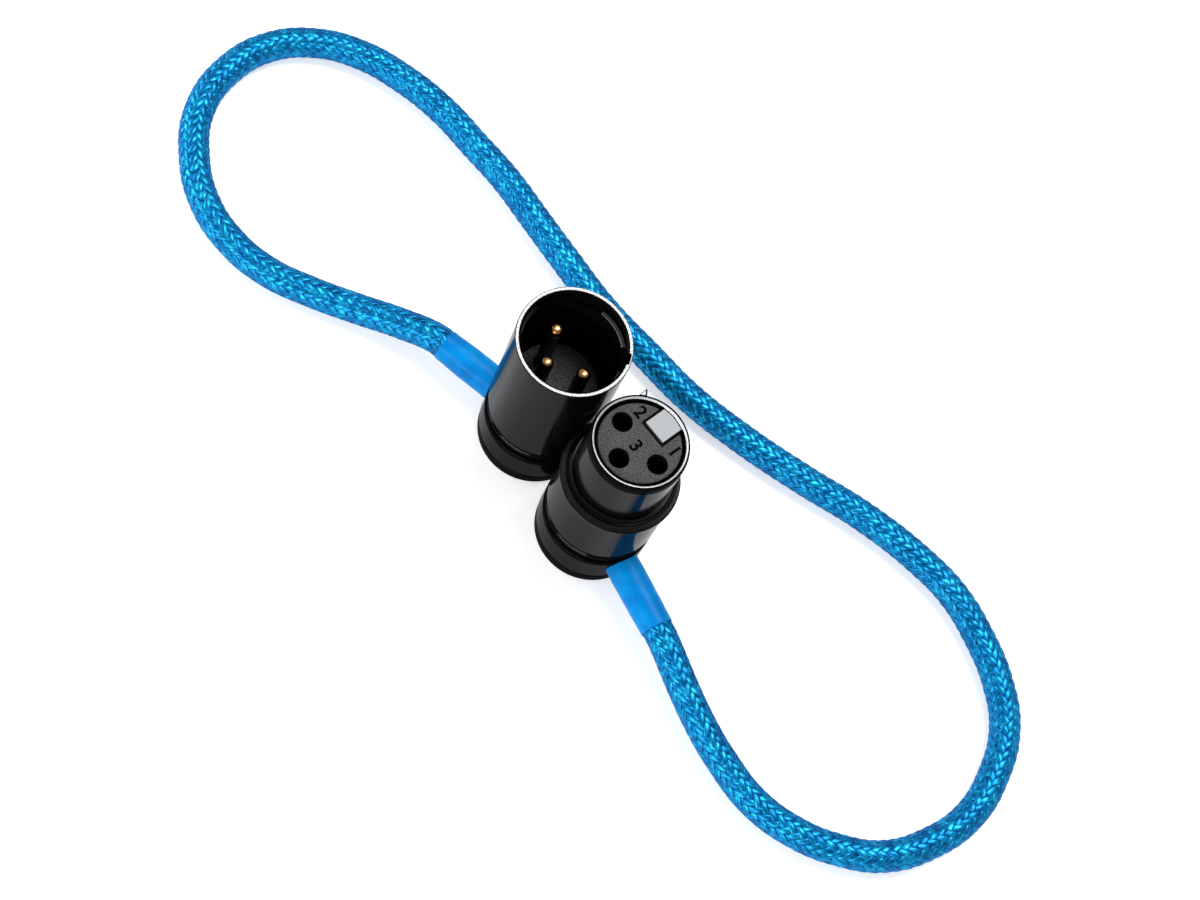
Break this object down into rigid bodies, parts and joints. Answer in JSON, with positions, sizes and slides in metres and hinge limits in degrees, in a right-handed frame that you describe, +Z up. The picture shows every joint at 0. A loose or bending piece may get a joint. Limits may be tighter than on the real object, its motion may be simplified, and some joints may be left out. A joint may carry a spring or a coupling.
{
  "type": "three-pin audio patch cable",
  "caption": "Short braided audio cable between two low-profile right-angle connectors: one with pins inside a round shell, one with sockets in a keyed nose with a push latch.",
  "frame": {"origin": "on the surface that the connectors stand on, midway between the axes of the two connectors", "axes": "+Z up along both connectors' mating axes; +X from the plug connector towards the socket connector and the pictured view's right; +Y away from the viewer"},
  "size_m": [0.1788, 0.0919, 0.0395],
  "materials": {
    "black_shell": "glossy black anodised",
    "insert_plastic": "fine-grained dark grey moulding",
    "gold_contact": "gold plated",
    "ring_metal": "satin dark grey",
    "dark_screw": "black oxide",
    "bright_steel": "bright, lightly brushed",
    "lead_insulation": "smooth",
    "cable_jacket": "matte",
    "blue_sleeve": "satin heat-shrink",
    "grained_black": "grained black",
    "blue_braid": "braided, semi-gloss strands"
  },
  "bodies": {
    "cable_and_connectors": {"male_shell": "black_shell", "male_insert": "insert_plastic", "male_pin_1": "gold_contact", "male_pin_2": "gold_contact", "male_pin_3": "gold_contact", "male_lock_ring": "ring_metal", "male_cap": "black_shell", "male_base_plate": "black_shell", "male_plate_screws": "dark_screw", "male_clamp": "bright_steel", "male_clamp_screws": "bright_steel", "male_leads": "lead_insulation", "male_cable_tail": "cable_jacket", "male_sleeve": "blue_sleeve", "female_body": "black_shell", "female_shoulder_ring": "grained_black", "female_nose": "black_shell", "female_insert": "insert_plastic", "female_contact_1": "gold_contact", "female_contact_2": "gold_contact", "female_contact_3": "gold_contact", "female_key_plate": "bright_steel", "female_latch_spring": "bright_steel", "female_lock_ring": "ring_metal", "female_cap": "black_shell", "female_base_plate": "black_shell", "female_plate_screws": "dark_screw", "female_clamp": "bright_steel", "female_clamp_screws": "bright_steel", "female_leads": "lead_insulation", "female_cable_tail": "cable_jacket", "female_sleeve": "blue_sleeve", "braided_cable": "blue_braid"},
    "latch": {"female_latch": "bright_steel", "female_latch_button": "grained_black"}
  },
  "joints": [
    {"name": "latch_press", "type": "slide", "parent": "cable_and_connectors", "child": "latch", "axis": [-0.3907, -0.9205, 0], "range_m": [0, 0.0009], "stiffness_N_per_m": 100, "springref_m": -0.008, "deforming": ["female_latch_spring"]}
  ]
}
